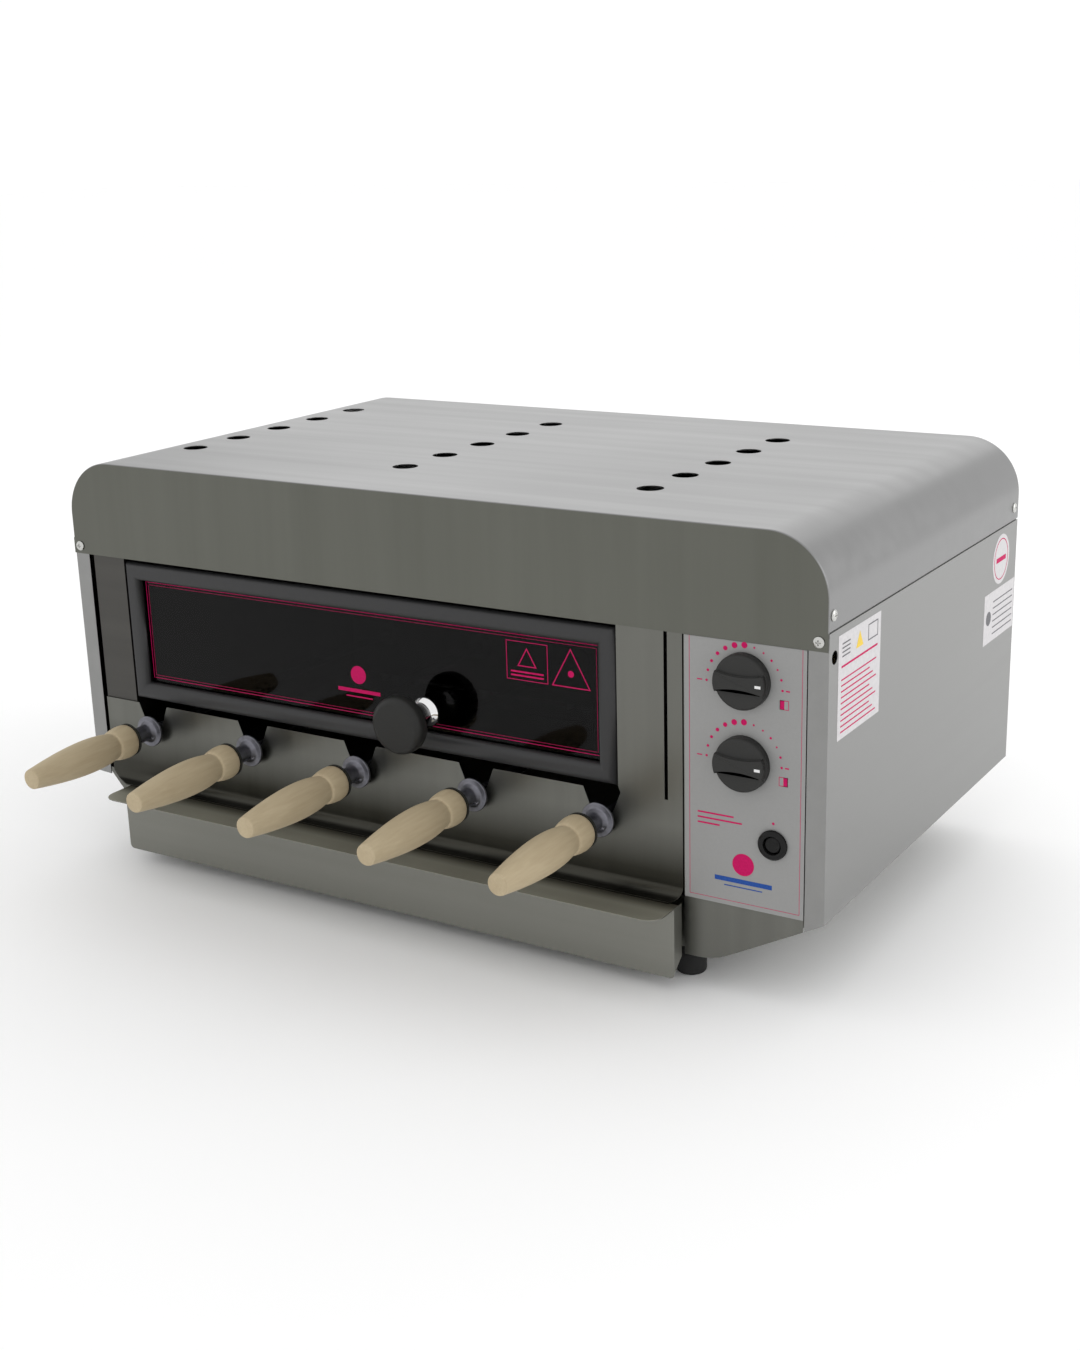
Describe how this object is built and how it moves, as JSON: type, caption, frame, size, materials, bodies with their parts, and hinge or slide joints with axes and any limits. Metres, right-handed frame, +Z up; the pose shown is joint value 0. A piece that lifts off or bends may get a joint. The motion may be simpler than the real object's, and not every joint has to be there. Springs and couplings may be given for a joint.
{
  "type": "rotisserie oven",
  "caption": "Stainless steel gas rotisserie oven with wood-handled skewers turned by meshed gears, a flip-up glass door, two burner dials, an igniter button and a drip drawer.",
  "frame": {"origin": "bottom centre of the bounding box, on the floor under the feet", "axes": "+X to the user's right seen from the front, +Y to the back, +Z up; the front faces -Y"},
  "size_m": [0.7036, 0.568, 0.352],
  "materials": {
    "casing_steel": "satin, vertical grain",
    "screw_steel": "bright domed heads",
    "chamber_steel": "darkened by heat, satin",
    "tray_steel": "satin, horizontal grain",
    "label_film": "silver grey printed film",
    "foot_rubber": "moulded, matt",
    "burner_ceramic": "perforated honeycomb tile",
    "valve_brass": "machined",
    "pipe_aluminium": "bent soft tube",
    "dial_plastic": "fine texture",
    "igniter_plastic": "smooth",
    "door_enamel": "black enamel, satin",
    "door_glass": "smoked, polished",
    "knob_plastic": "bakelite, satin",
    "gear_steel": "stamped and oiled",
    "skewer_steel": "zinc plated",
    "handle_wood": "turned, unvarnished"
  },
  "bodies": {
    "casing": {"hood": "casing_steel", "hood_front": "casing_steel", "left_side_panel": "casing_steel", "right_side_panel": "casing_steel", "rear_panel": "casing_steel", "front_panel": "casing_steel", "control_panel": "casing_steel", "base_frame": "casing_steel", "left_fascia_screw": "screw_steel", "right_fascia_screw": "screw_steel", "left_hood_screw": "screw_steel", "right_hood_screw": "screw_steel", "left_jamb": "chamber_steel", "right_jamb": "chamber_steel", "chamber_left_wall": "chamber_steel", "chamber_right_wall": "chamber_steel", "chamber_rear_wall": "chamber_steel", "gear_retainer_plate": "chamber_steel", "burner_shelf": "chamber_steel", "left_burner_housing": "chamber_steel", "right_burner_housing": "chamber_steel", "gearmotor": "chamber_steel", "control_label": "label_film", "front_left_foot": "foot_rubber", "front_right_foot": "foot_rubber", "rear_left_foot": "foot_rubber", "rear_right_foot": "foot_rubber", "left_burner_tile": "burner_ceramic", "right_burner_tile": "burner_ceramic", "upper_gas_valve": "valve_brass", "lower_gas_valve": "valve_brass", "gas_manifold": "valve_brass", "gas_inlet": "valve_brass", "upper_burner_pipe": "pipe_aluminium", "lower_burner_pipe": "pipe_aluminium", "cord_gland": "dial_plastic", "igniter_body": "igniter_plastic"},
    "door": {"door_frame": "door_enamel", "door_glass": "door_glass", "door_knob": "knob_plastic"},
    "drawer": {"drip_tray": "tray_steel"},
    "upper_dial_body": {"upper_dial": "dial_plastic"},
    "lower_dial_body": {"lower_dial": "dial_plastic"},
    "igniter_button_body": {"igniter_button": "igniter_plastic"},
    "pinion": {"motor_pinion": "gear_steel"},
    "gear_1": {"drive_gear_1": "gear_steel"},
    "skewer_1": {"skewer_1_rod": "skewer_steel", "skewer_1_handle": "handle_wood"},
    "gear_2": {"drive_gear_2": "gear_steel"},
    "skewer_2": {"skewer_2_rod": "skewer_steel", "skewer_2_handle": "handle_wood"},
    "gear_3": {"drive_gear_3": "gear_steel"},
    "skewer_3": {"skewer_3_rod": "skewer_steel", "skewer_3_handle": "handle_wood"},
    "gear_4": {"drive_gear_4": "gear_steel"},
    "skewer_4": {"skewer_4_rod": "skewer_steel", "skewer_4_handle": "handle_wood"},
    "gear_5": {"drive_gear_5": "gear_steel"},
    "skewer_5": {"skewer_5_rod": "skewer_steel", "skewer_5_handle": "handle_wood"}
  },
  "joints": [
    {"name": "door_hinge", "type": "hinge", "parent": "casing", "child": "door", "pos_m": [-0.0555, -0.134, 0.26], "axis": [-1, 0, 0], "range_deg": [0, 85]},
    {"name": "drawer_slide", "type": "slide", "parent": "casing", "child": "drawer", "axis": [0, -1, 0], "range_m": [0, 0.3]},
    {"name": "upper_dial_turn", "type": "hinge", "parent": "casing", "child": "upper_dial_body", "pos_m": [0.2877, -0.142, 0.2436], "axis": [0, -1, 0], "range_deg": [0, 180]},
    {"name": "lower_dial_turn", "type": "hinge", "parent": "casing", "child": "lower_dial_body", "pos_m": [0.2877, -0.142, 0.1831], "axis": [0, -1, 0], "range_deg": [0, 180]},
    {"name": "igniter_press", "type": "slide", "parent": "casing", "child": "igniter_button_body", "axis": [0, 1, 0], "range_m": [0, 0.0035], "stiffness_N_per_m": 600, "springref_m": -0.002},
    {"name": "gear_1_spin", "type": "hinge", "parent": "casing", "child": "gear_1", "pos_m": [-0.2765, 0.22, 0.121], "axis": [0, 1, 0], "continuous": true},
    {"name": "gear_2_spin", "type": "hinge", "parent": "casing", "child": "gear_2", "pos_m": [-0.1645, 0.22, 0.121], "axis": [0, 1, 0], "continuous": true},
    {"name": "gear_3_spin", "type": "hinge", "parent": "casing", "child": "gear_3", "pos_m": [-0.0525, 0.22, 0.121], "axis": [0, 1, 0], "continuous": true},
    {"name": "gear_4_spin", "type": "hinge", "parent": "casing", "child": "gear_4", "pos_m": [0.0595, 0.22, 0.121], "axis": [0, 1, 0], "continuous": true},
    {"name": "gear_5_spin", "type": "hinge", "parent": "casing", "child": "gear_5", "pos_m": [0.1715, 0.22, 0.121], "axis": [0, 1, 0], "continuous": true},
    {"name": "pinion_spin", "type": "hinge", "parent": "casing", "child": "pinion", "pos_m": [0.2309, 0.22, 0.1804], "axis": [0, 1, 0], "continuous": true},
    {"name": "skewer_1_pull", "type": "slide", "parent": "gear_1", "child": "skewer_1", "axis": [0, -1, 0], "range_m": [0, 0.03]},
    {"name": "skewer_2_pull", "type": "slide", "parent": "gear_2", "child": "skewer_2", "axis": [0, -1, 0], "range_m": [0, 0.03]},
    {"name": "skewer_3_pull", "type": "slide", "parent": "gear_3", "child": "skewer_3", "axis": [0, -1, 0], "range_m": [0, 0.03]},
    {"name": "skewer_4_pull", "type": "slide", "parent": "gear_4", "child": "skewer_4", "axis": [0, -1, 0], "range_m": [0, 0.03]},
    {"name": "skewer_5_pull", "type": "slide", "parent": "gear_5", "child": "skewer_5", "axis": [0, -1, 0], "range_m": [0, 0.03]}
  ],
  "couplings": [
    {"joint": "gear_2_spin", "follows": "gear_3_spin", "ratio": -1},
    {"joint": "gear_4_spin", "follows": "gear_3_spin", "ratio": -1},
    {"joint": "gear_1_spin", "follows": "gear_3_spin", "ratio": 1},
    {"joint": "gear_5_spin", "follows": "gear_3_spin", "ratio": 1},
    {"joint": "pinion_spin", "follows": "gear_3_spin", "ratio": -2}
  ]
}
